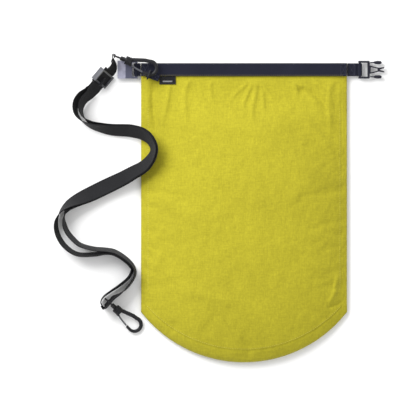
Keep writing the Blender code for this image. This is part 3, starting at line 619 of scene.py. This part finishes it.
# small waves in the cloth: scale along X and Y, place in the noise, lacunarity, octaves, height
WAVES = ((26, 20, 3.1, 2.1, 4, 1.1), (90, 60, 7.7, 2.0, 3, 0.5))
FLAT_FROM_Y = 0.2065                                # the collar stays flat above it
EDGE_FADE = 0.012


def seam_relief(away, rows):
    """How far a seam lifts the cloth at a distance from it, all in mm."""
    return sum(height * math.exp(-((away - place) / width) ** 2) for place, width, height in rows)


def crease_height(x, y):
    """How far the folds, seams and small waves lift the cloth at a point, worked out in mm."""
    total = 0.0
    for x0, y0, x1, y1, width, height in CREASES:
        dx, dy = (x1 - x0) / 1000, (y1 - y0) / 1000
        t = ((x - x0 / 1000) * dx + (y - y0 / 1000) * dy) / (dx * dx + dy * dy)
        if not -RUN_OUT < t < 1 + RUN_OUT:
            continue
        bend = CREASE_SWAY * math.sin(3.0 * t + x0)
        away = (((x - x0 / 1000) * dy - (y - y0 / 1000) * dx) / math.hypot(dx, dy) + bend) * 1000
        fade = smooth((t + RUN_OUT) / 0.4) * smooth((1 + RUN_OUT - t) / 0.6)
        total += CREASE_GAIN * height * fade * math.exp(-(away / width) ** 2)
    total += seam_relief((y - base_edge_y(x) - SEAM_REACH) * 1000, BASE_SEAM_RELIEF)
    if x > 0:
        total += seam_relief((SIDE_SEAM_X - x) * 1000, SIDE_SEAM_RELIEF)
    for scale_x, scale_y, level, lacunarity, octaves, height in WAVES:
        wave = noise.fractal(Vector((x * scale_x, y * scale_y, level)), 0.9, lacunarity, octaves)
        total += height * wave
    edge = smooth((HALF_WIDTH - abs(x)) / EDGE_FADE) * smooth((y - base_edge_y(x)) / EDGE_FADE)
    return total / 1000 * edge * smooth((FLAT_FROM_Y - y) / EDGE_FADE)


COLUMNS, ROWS = ((96, 116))
upper = cloth_grid("bag_cloth", COLUMNS, ROWS, front_z)
drape(upper, COLUMNS, ROWS)
lower = cloth_grid("bag_back", COLUMNS, ROWS, back_z)
for side in (upper, lower):
    subdivide = side.modifiers.new("fine", "SUBSURF")
    subdivide.levels = subdivide.render_levels = 1
    subdivide.boundary_smooth = "PRESERVE_CORNERS"
    fine = evaluated_mesh(side)
    side.modifiers.clear()
    side.data = fine

# the folds go into the upper side, which stays low under the band and the label
UNDER_BAND_Y, UNDER_LABEL_Y, UNDER_LABEL_X = 0.2075, 0.1935, (-0.1315, -0.1015)
for vert in upper.data.vertices:
    vert.co.z += crease_height(vert.co.x, vert.co.y)
    vert.co.z = min(max(vert.co.z, EDGE_Z), CEILING)
    under_label = vert.co.y > UNDER_LABEL_Y and UNDER_LABEL_X[0] < vert.co.x < UNDER_LABEL_X[1]
    if vert.co.y > UNDER_BAND_Y or under_label:
        vert.co.z = min(vert.co.z, COLLAR_FRONT_Z)


def facing(mesh, up):
    """A bmesh of one side, with every face turned up, or down."""
    side = bmesh.new()
    side.from_mesh(mesh)
    for face in side.faces:
        if (face.normal.z < 0) == up and face.normal.z != 0:
            face.normal_flip()
    return side


# both sides join along their edge, and the mouth stays open
bm = facing(upper.data, up=True)
back = facing(lower.data, up=False)
back_mesh = bpy.data.meshes.new("back")
back.to_mesh(back_mesh)
back.free()
bm.from_mesh(back_mesh)
rim = [v for v in bm.verts
       if v.is_boundary and v.co.y < TOP_Y - 0.002 or abs(v.co.x) > HALF_WIDTH - 0.0006]
bmesh.ops.remove_doubles(bm, verts=rim, dist=0.0009)
bm.to_mesh(upper.data)
bm.free()
bpy.data.objects.remove(lower, do_unlink=True)
upper.data.materials.clear()
upper.data.materials.append(CLOTH)
upper.data.materials.append(CLOTH_INSIDE)
shell = upper.modifiers.new("cloth", "SOLIDIFY")
shell.thickness, shell.offset, shell.material_offset = FABRIC, 0.0, 1
upper.data = evaluated_mesh(upper)
upper.modifiers.clear()
SURFACE = BVHTree.FromPolygons([v.co for v in upper.data.vertices],
                               [tuple(f.vertices) for f in upper.data.polygons])
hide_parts("front_panel", "back_panel", "base_panel", "collar")
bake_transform(upper)

# ---- helpers for the sewn and moulded details ----------------------------------------------------
# one stitch: place along it, lift in thread radii, and fatness, at five rings
STITCH = ((0.0, -0.6, 0.6), (0.15, 0.45, 1.0), (0.5, 0.75, 1.0), (0.85, 0.45, 1.0),
          (1.0, -0.6, 0.6))
STITCH_SIDES = 6
TURN_STEP = 0.0002                                  # to either side, for a stitch's direction


def stitches(name, points, normals, material, body, pitch=0.0032, length=0.0022, radius=0.00024):
    """A row of stitches along points; normals is one direction for all, or one for each."""
    points = [Vector(p) for p in points]
    if isinstance(normals, Vector):
        normals = [normals] * len(points)
    lengths = [0.0]
    for a, b in zip(points, points[1:]):
        lengths.append(lengths[-1] + (b - a).length)

    def at(along):
        """The point and normal that far along the row."""
        j = 0
        while j < len(points) - 2 and lengths[j + 1] < along:
            j += 1
        t = (along - lengths[j]) / max(lengths[j + 1] - lengths[j], 1e-9)
        return points[j].lerp(points[j + 1], t), normals[j].lerp(normals[j + 1], t).normalized()

    verts, faces, sides = [], [], STITCH_SIDES
    for k in range(max(1, int(lengths[-1] / pitch))):
        start = (k + 0.5) * pitch - length / 2
        first = len(verts)
        for step, lift, fat in STITCH:
            here, normal = at(start + step * length)
            ahead, _ = at(min(start + step * length + TURN_STEP, lengths[-1]))
            behind, _ = at(max(start + step * length - TURN_STEP, 0.0))
            run = (ahead - behind).normalized()
            side = normal.cross(run)
            for s in range(sides):
                angle = 2 * math.pi * s / sides
                verts.append(here + normal * radius * lift
                             + radius * fat * (math.cos(angle) * side + math.sin(angle) * normal))
        for ring in range(len(STITCH) - 1):
            for s in range(sides):
                a, b = first + ring * sides + s, first + ring * sides + (s + 1) % sides
                faces.append((a, b, b + sides, a + sides))
        faces.append(tuple(first + s for s in reversed(range(sides))))
        faces.append(tuple(first + (len(STITCH) - 1) * sides + s for s in range(sides)))
    row = outward(add_mesh(name, verts, faces, material))
    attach(row, body)
    return row


def box_stitch(name, matrix, half_x, half_y, material, body):
    """A sewn rectangle with its two diagonals, in the XY plane of matrix."""
    corners = [(-half_x, -half_y), (half_x, -half_y), (half_x, half_y), (-half_x, half_y)]
    rows = [corners + corners[:1], [corners[0], corners[2]], [corners[1], corners[3]]]
    up = (matrix.to_3x3() @ UP).normalized()
    for i, row in enumerate(rows):
        stitches(f"{name}_{i}", [matrix @ Vector((*p, 0)) for p in row], up, material, body,
                 pitch=0.0022, length=0.0017, radius=0.0002)


def node_copy(node, name, material, bevel, body, segments=3):
    """A copy of a CAD node with rounded edges, shown in its place."""
    mesh = NODES[node].data.copy()
    obj = bpy.data.objects.new(name, mesh)
    bpy.context.scene.collection.objects.link(obj)
    obj.matrix_world = NODES[node].matrix_world.copy()
    bm = bmesh.new()
    bm.from_mesh(mesh)
    bmesh.ops.remove_doubles(bm, verts=bm.verts, dist=0.00002)
    bmesh.ops.dissolve_limit(bm, angle_limit=math.radians(2), verts=bm.verts, edges=bm.edges)
    bm.to_mesh(mesh)
    bm.free()
    rounded = obj.modifiers.new("edges", "BEVEL")
    rounded.width, rounded.segments = bevel, segments
    rounded.limit_method, rounded.angle_limit = "ANGLE", math.radians(38)
    obj.data = evaluated_mesh(obj)
    obj.modifiers.clear()
    obj.data.shade_smooth()
    obj.data.set_sharp_from_angle(angle=math.radians(50))
    obj.data.materials.clear()
    obj.data.materials.append(material)
    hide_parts(node)
    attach(obj, body)
    return obj


def smooth_rod(name, points, radius, material, body, closed=False):
    """A round rod along points, open or closed to a ring."""
    curve = bpy.data.curves.new(name, "CURVE")
    curve.dimensions = "3D"
    curve.bevel_depth, curve.bevel_resolution = radius, 6
    curve.use_fill_caps = not closed
    spline = curve.splines.new("POLY")
    spline.points.add(len(points) - 1)
    for point, place in zip(spline.points, points):
        point.co = (*place, 1.0)
    spline.use_cyclic_u = closed
    obj = bpy.data.objects.new(name, curve)
    bpy.context.scene.collection.objects.link(obj)
    mesh = evaluated_mesh(obj)
    bpy.data.objects.remove(obj, do_unlink=True)
    obj = bpy.data.objects.new(name, mesh)
    bpy.context.scene.collection.objects.link(obj)
    mesh.materials.clear()
    mesh.materials.append(material)
    mesh.shade_smooth()
    mesh.set_sharp_from_angle(angle=math.radians(60))
    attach(obj, body)
    return obj


def turned(name, matrix, outline, material, body, sides=40):
    """A solid turned about local X from (x, radius) pairs."""
    verts, faces = [], []
    for x, radius in outline:
        for s in range(sides):
            angle = 2 * math.pi * s / sides
            verts.append(matrix @ Vector((x, radius * math.cos(angle), radius * math.sin(angle))))
    for i in range(len(outline) - 1):
        for s in range(sides):
            a, b = i * sides + s, i * sides + (s + 1) % sides
            faces.append((a, b, b + sides, a + sides))
    faces.append(tuple(range(sides)))
    faces.append(tuple((len(outline) - 1) * sides + s for s in range(sides)))
    obj = outward(add_mesh(name, verts, faces, material))
    obj.data.set_sharp_from_angle(angle=math.radians(45))
    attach(obj, body)
    return obj


def rounded_box(name, low, high, matrix, material, body, bevel=0.0006):
    """A box from low to high in the frame of matrix, with rounded edges."""
    low, high = Vector(low), Vector(high)
    bm = bmesh.new()
    bmesh.ops.create_cube(bm, size=1.0)
    bmesh.ops.scale(bm, vec=high - low, verts=bm.verts)
    bmesh.ops.translate(bm, vec=(low + high) / 2, verts=bm.verts)
    bmesh.ops.bevel(bm, geom=bm.edges, offset=bevel, segments=3, profile=0.5, affect="EDGES")
    bmesh.ops.transform(bm, matrix=matrix, verts=bm.verts)
    obj = add_mesh(name, [], [], material)
    bm.to_mesh(obj.data)
    bm.free()
    obj.data.shade_smooth()
    obj.data.set_sharp_from_angle(angle=math.radians(50))
    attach(obj, body)
    return obj


# ---- seams of the cloth --------------------------------------------------------------------------
def on_cloth(x, y):
    """The point and normal of the upper cloth at (x, y)."""
    return SURFACE.ray_cast(Vector((x, y, 0.1)), -UP)[:2]


def cloth_seam(name, places):
    """A row of yellow stitches on the upper cloth, along places (x, y)."""
    row = [on_cloth(x, y) for x, y in places]
    stitches(name, [p for p, _ in row], [n for _, n in row], THREAD_YELLOW, "bag",
             pitch=0.0034, length=0.0024)


BASE_ROW_HALF, BASE_ROW_ABOVE_SEAM = 0.148, 0.0024
SIDE_ROW_X, SIDE_ROW_LOW, SIDE_ROW_LENGTH = 0.1462, -0.118, 0.280
base_xs = [-BASE_ROW_HALF + 2 * BASE_ROW_HALF * k / 120 for k in range(121)]
cloth_seam("base_seam", [(x, base_edge_y(x) + SEAM_REACH + BASE_ROW_ABOVE_SEAM) for x in base_xs])
for side, x in (("right", SIDE_ROW_X), ("left", -SIDE_ROW_X)):
    cloth_seam("side_seam_" + side,
               [(x, SIDE_ROW_LOW + SIDE_ROW_LENGTH * k / 90) for k in range(91)])

# ---- closure webbing, label and tabs -------------------------------------------------------------
BAND_LOW, BAND_MID_Y, BAND_WIDTH, BAND_HALF = 0.208, 0.218, 0.020, 0.1566
BAND_STEPS, BAND_RIB_PITCH, BAND_RIB_HEIGHT, BAND_RIB_SINK = 800, 0.00157, 0.00007, 0.00004
BAND_SELVEDGE = 0.0008                              # the plain edge beside the ribs
ON_BAND_Z = 0.01262
ACROSS = Vector((0, 1, 0))


def straight(x_from, x_to, y, z, steps):
    """Stations along X."""
    return [(x_from + (x_to - x_from) * k / steps, y, z, 0.0) for k in range(steps + 1)]


for side, middle_z in (("back", 0.0010), ("front", 0.0118)):
    stations = straight(-BAND_HALF, BAND_HALF, BAND_MID_Y, middle_z, BAND_STEPS)
    band = ribbon("closure_" + side, stations, BAND_WIDTH, NAVY, widths=[ACROSS] * len(stations))
    for vert in band.data.vertices:
        rib = math.cos(2 * math.pi * vert.co.x / BAND_RIB_PITCH)
        if abs(vert.co.y - BAND_MID_Y) < BAND_WIDTH / 2 - BAND_SELVEDGE:
            lift = BAND_RIB_HEIGHT * rib - BAND_RIB_SINK
            vert.co.z += lift * (1 if vert.co.z > middle_z else -1)
    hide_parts("closure_webbing_" + side)
    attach(band, "mouth")
for inset, thread, row in ((0.0016, THREAD_OLIVE, "low"), (0.0186, THREAD_NAVY, "high")):
    y = BAND_LOW + inset
    stitches("band_row_" + row, [(-0.1545, y, ON_BAND_Z), (0.1545, y, ON_BAND_Z)], UP, thread,
             "mouth", pitch=0.0030, length=0.0022)

label = ribbon("label_cloth", straight(-0.129, -0.104, 0.2016, 0.0106, 24), 0.0121, LABEL,
               thickness=0.0011, widths=[ACROSS] * 25)
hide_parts("label")
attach(label, "mouth")
# a plain pale bar stands for the label's print
mark = ribbon("label_mark", straight(-0.1240, -0.1090, 0.2002, 0.01120, 8), 0.0022, LABEL_MARK,
              thickness=0.0002, widths=[ACROSS] * 9)
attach(mark, "mouth")
ON_LABEL_Z = 0.01122
stitches("label_row", [(-0.1278, 0.2068, ON_LABEL_Z), (-0.1278, 0.1964, ON_LABEL_Z),
                       (-0.1052, 0.1964, ON_LABEL_Z), (-0.1052, 0.2068, ON_LABEL_Z)], UP,
         THREAD_NAVY, "mouth", pitch=0.0020, length=0.0014, radius=0.00016)


def tab_line(radius, tail, lift):
    """A folded webbing's middle line: in along the lower side, round the bar and out again."""
    line = [(tail, -lift), (tail * 0.6, -lift), (max(tail * 0.25, radius * 1.1), -lift)]
    line += arc((0, 0), radius, -78, -438, 14)
    return line + [(max(tail * 0.3, radius * 1.25), lift), (tail * 0.6, lift), (tail, lift)]


MALE_X, FEMALE_X, BAR_Z = 0.1765, -0.1642, 0.0064
TAB_RADIUS, TAB_LIFT, TAB_WIDTH, TAB_STEP = 0.0028, 0.00086, 0.0195, 0.0006
for name, bar_x, inwards, tail in (("right", MALE_X, -1, 0.0190), ("left", FEMALE_X, 1, 0.0067)):
    line = tab_line(TAB_RADIUS, tail, TAB_LIFT)
    stations = [(bar_x + inwards * x, BAND_MID_Y, BAR_Z + z, 0.0) for x, z in line]
    route = smooth_route(stations, TAB_STEP)
    tab = ribbon("tab_" + name, route, TAB_WIDTH, NAVY, widths=[ACROSS] * len(route))
    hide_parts("buckle_tab_" + name)
    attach(tab, "mouth")
for name, x, z, half_x, half_y in (("tab_right_box", 0.1640, BAR_Z + 0.00170, 0.0048, 0.0078),
                                  ("band_right_box", 0.1515, ON_BAND_Z, 0.0040, 0.0076),
                                  ("band_left_box", -0.1505, ON_BAND_Z, 0.0045, 0.0076)):
    box_stitch(name, Matrix.Translation((x, BAND_MID_Y, z)), half_x, half_y, THREAD_NAVY, "mouth")

# ---- ring, which stands up through the top hook's bow --------------------------------------------
BOW_ROD, GATE_ROD, EYE_ROD = 0.0021, 0.00125, 0.0014
along_hook = (TOP_HOOK.to_3x3() @ Vector((1, 0, 0))).normalized()
across_hook = (TOP_HOOK.to_3x3() @ Vector((0, 1, 0))).normalized()
ring_place = TOP_HOOK @ Vector((0.0360, -0.0092, 0))
RING_BAR_Z, RING_ROD, RING_HALF, RING_CORNER = 0.0160, 0.0013, 0.0066, 0.0035
rise = ring_place.z + 2 * BOW_ROD + RING_ROD - RING_BAR_Z
ring_xz = [(-RING_HALF, 0), (RING_HALF, 0)]
ring_xz += arc((RING_HALF - RING_CORNER, rise - RING_CORNER), RING_CORNER, 0, 90, 8)
ring_xz += arc((-RING_HALF + RING_CORNER, rise - RING_CORNER), RING_CORNER, 90, 180, 8)
ring_origin = Vector((ring_place.x, ring_place.y, RING_BAR_Z))
ring = smooth_rod("ring", [ring_origin + across_hook * x + UP * z for x, z in ring_xz], RING_ROD,
                  BLACK_PLASTIC, "d_ring", closed=True)
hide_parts("d_ring")
RING_TAB_RADIUS, RING_TAB_STEP, RING_TAB_WIDTH = 0.0024, 0.0005, 0.0098
line = [(x, -RING_TAB_RADIUS) for x in (0.0168, 0.010, 0.003)]
line += arc((0, 0), RING_TAB_RADIUS, -90, -360, 12)
line += [(0.0042, -0.0009), (0.010, -0.0009), (0.0168, -0.0009)]
route = smooth_route([(*(ring_origin + along_hook * x + UP * z), 0.0) for x, z in line],
                     RING_TAB_STEP)
ring_tab = ribbon("ring_tab", route, RING_TAB_WIDTH, NAVY, widths=[across_hook] * len(route))
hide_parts("d_ring_tab")
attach(ring_tab, "mouth")
sewn_place = ring_origin + along_hook * 0.0110 - UP * 0.00012
box_stitch("ring_tab_box", frame_matrix(sewn_place, along_hook, UP), 0.0042, 0.0038, THREAD_NAVY,
           "mouth")

# ---- snap hooks ----------------------------------------------------------------------------------
# outlines in a hook's own frame, in metres: X from the eye to the bow, Y across the bow
BOW_WIDENING = 0.42
NOSE = (0.0272, -0.0087)
SPINE = [(0.0030, 0.0030), (0.0050, 0.0037), (0.0075, 0.0046), (0.0110, 0.0057),
         (0.0160, 0.0073), (0.0200, 0.0086), (0.0235, 0.0097)]
SPINE += arc((0.0340, 0.0010), 0.0102, 112, -100, 30) + [(0.0290, -0.0090), NOSE]
NOSE_OUTLINE = [(-0.0010, 0.0021), (0.0004, 0.0020), (0.0010, 0.0013)]
GATE = [(0.0052, -0.0049), (0.0064, -0.0050), (0.0130, -0.0066), (0.0200, -0.0077),
        (0.0252, -0.0083)]
BARREL_OUTLINE = [(-0.0053, 0.0050), (-0.0053, 0.0060), (-0.0047, 0.0066), (-0.0034, 0.0066),
                  (-0.0031, 0.0061), (-0.0026, 0.0061), (-0.0023, 0.0066), (0.0002, 0.0066),
                  (0.0005, 0.0061), (0.0010, 0.0061), (0.0013, 0.0066), (0.0038, 0.0066),
                  (0.0050, 0.0056), (0.0053, 0.0040)]
NECK_OUTLINE = [(-0.0136, 0.0014), (-0.0130, 0.0030), (-0.0120, 0.0034), (-0.0056, 0.0034),
                (-0.0056, 0.0020), (0.0030, 0.0020)]
LUG_LOW, LUG_HIGH = (0.0028, -0.0068, -0.0022), (0.0066, -0.0033, 0.0022)
EYE_HALF, EYE_CORNER = STRAP_WIDTH / 2 + 0.0019, 0.0017
EYE_RING = []                                       # in the XZ plane
for centre, start in (((EYE_NEAR_X - EYE_CORNER, EYE_HALF - EYE_CORNER), 0),
                      ((EYE_FAR_X + EYE_CORNER, EYE_HALF - EYE_CORNER), 90),
                      ((EYE_FAR_X + EYE_CORNER, -EYE_HALF + EYE_CORNER), 180),
                      ((EYE_NEAR_X - EYE_CORNER, -EYE_HALF + EYE_CORNER), 270)):
    EYE_RING += arc(centre, EYE_CORNER, start, start + 90, 8)


def widen(bow, matrix, spine):
    """Make a hook's bow wider than it is thick, and slimmer towards its nose."""
    into_hook = matrix.inverted()
    for vertex in bow.data.vertices:
        local = into_hook @ vertex.co
        flat = Vector((local.x, local.y))
        step = min(range(len(spine)), key=lambda k: (flat - Vector(spine[k])).length)
        before, after = spine[max(step - 1, 0)], spine[min(step + 1, len(spine) - 1)]
        along = (Vector(after) - Vector(before)).normalized()
        across = Vector((-along.y, along.x))
        offset = (flat - Vector(spine[step])).dot(across)
        share = step / (len(spine) - 1)
        grown = flat + across * offset * BOW_WIDENING * (1.0 - share ** 3)
        vertex.co = matrix @ Vector((grown.x, grown.y, local.z))


for name, matrix in (("top", TOP_HOOK), ("bottom", BOTTOM_HOOK)):
    hook_body, eye_body = name + "_hook", "mouth" if name == "top" else "bottom_eye"
    bow = smooth_rod(name + "_bow", [matrix @ Vector((x, y, 0)) for x, y in SPINE], BOW_ROD,
                     BLACK_PLASTIC, hook_body)
    widen(bow, matrix, SPINE)
    at_nose = matrix @ Matrix.Translation((*NOSE, 0)) @ Matrix.Rotation(math.radians(190), 4, "Z")
    nose = turned(name + "_nose", at_nose, NOSE_OUTLINE, BLACK_PLASTIC, hook_body, sides=20)
    barrel = turned(name + "_barrel", matrix, BARREL_OUTLINE, BLACK_PLASTIC, hook_body)
    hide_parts(name + "_hook_body")
    gate = smooth_rod(name + "_gate_bar", [matrix @ Vector((x, y, 0)) for x, y in GATE], GATE_ROD,
                      GREY_PLASTIC, name + "_gate")
    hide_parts(name + "_hook_gate")
    lug = rounded_box(name + "_lug", LUG_LOW, LUG_HIGH, matrix, BLACK_PLASTIC, hook_body)
    eye = smooth_rod(name + "_eye_ring", [matrix @ Vector((x, 0, z)) for x, z in EYE_RING],
                     EYE_ROD, BLACK_PLASTIC, eye_body, closed=True)
    neck = turned(name + "_neck", matrix, NECK_OUTLINE, BLACK_PLASTIC, eye_body, sides=28)
    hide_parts(name + "_hook_eye")

# ---- buckle and slider ---------------------------------------------------------------------------
node_copy("male_buckle_body", "male_frame", MALE_PLASTIC, 0.00045, "male_buckle")
for side in ("upper", "lower"):
    node_copy("male_buckle_arm_" + side, "male_arm_" + side + "_piece", MALE_PLASTIC,
                      0.0006, "male_arm_" + side)
node_copy("female_buckle_body", "female_shell", FEMALE_PLASTIC, 0.0006, "female_buckle")
node_copy("slider", "slider_frame", GREY_PLASTIC, 0.0004, "slider")
NODES["mouth_stiffener_front"].data.materials[0] = GREY_PLASTIC
NODES["mouth_stiffener_back"].data.materials[0] = GREY_PLASTIC

# ---- floor and light ---------------------------------------------------------------------------
FLOOR_REACH, FLOOR_Z = 3, -0.0003
floor_shader = Shader("floor", (0.90, 0.90, 0.90), 0.9)
floor_corners = [(x * FLOOR_REACH, y * FLOOR_REACH, FLOOR_Z)
                 for x, y in ((-1, -1), (1, -1), (1, 1), (-1, 1))]
floor = add_mesh("floor", floor_corners, [(0, 1, 2, 3)], floor_shader.material, smooth=False)

world = bpy.data.worlds.new("studio")
bpy.context.scene.world = world
world.use_nodes = True
backdrop = world.node_tree.nodes["Background"]
backdrop.inputs["Color"].default_value = (1.0, 1.0, 1.0, 1)
backdrop.inputs["Strength"].default_value = 0.82
# name, place in metres, side in metres, power in watts
LIGHTS = (("key", (-1.1, 1.15, 1.25), 1.3, 50), ("fill", (1.2, -0.4, 2.2), 2.0, 6))
for name, place, size, power in LIGHTS:
    light = bpy.data.lights.new(name, "AREA")
    light.size, light.energy = size, power
    lamp = bpy.data.objects.new(name, light)
    lamp.location = place
    lamp.rotation_euler = (-Vector(place)).to_track_quat("-Z", "Y").to_euler()
    bpy.context.scene.collection.objects.link(lamp)
